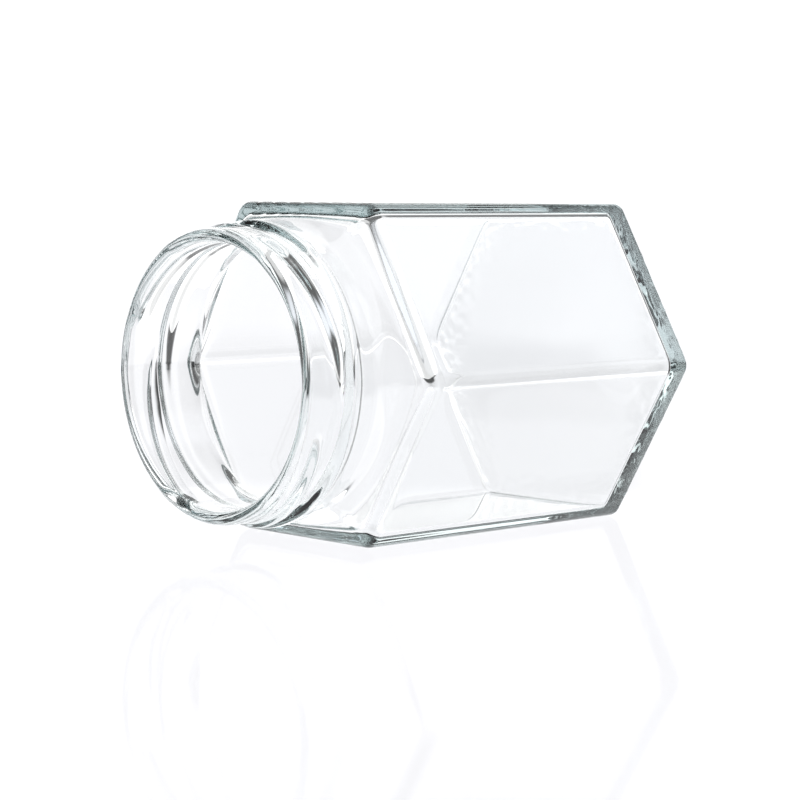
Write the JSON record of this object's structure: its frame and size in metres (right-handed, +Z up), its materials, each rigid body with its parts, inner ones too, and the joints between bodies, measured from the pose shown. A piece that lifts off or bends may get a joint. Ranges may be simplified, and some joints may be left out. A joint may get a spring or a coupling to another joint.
{
  "type": "hexagonal glass jar",
  "caption": "Empty clear glass jar with a hexagonal body, sloped shoulder and round mouth with lugs for a twist-off lid, lying on one flat side.",
  "frame": {"origin": "centre of the bounding box's underside, on the surface that the flat side rests on", "axes": "+X along the jar's axis from the mouth to the base, +Z up, so that one flat side lies down and the corner edges at mid height face -Y and +Y"},
  "size_m": [0.099, 0.077, 0.0675],
  "materials": {
    "glass": "clear soda-lime glass, fire-polished, with a faint green tint in its thick edges"
  },
  "bodies": {
    "root": {"jar": "glass"}
  },
  "joints": []
}
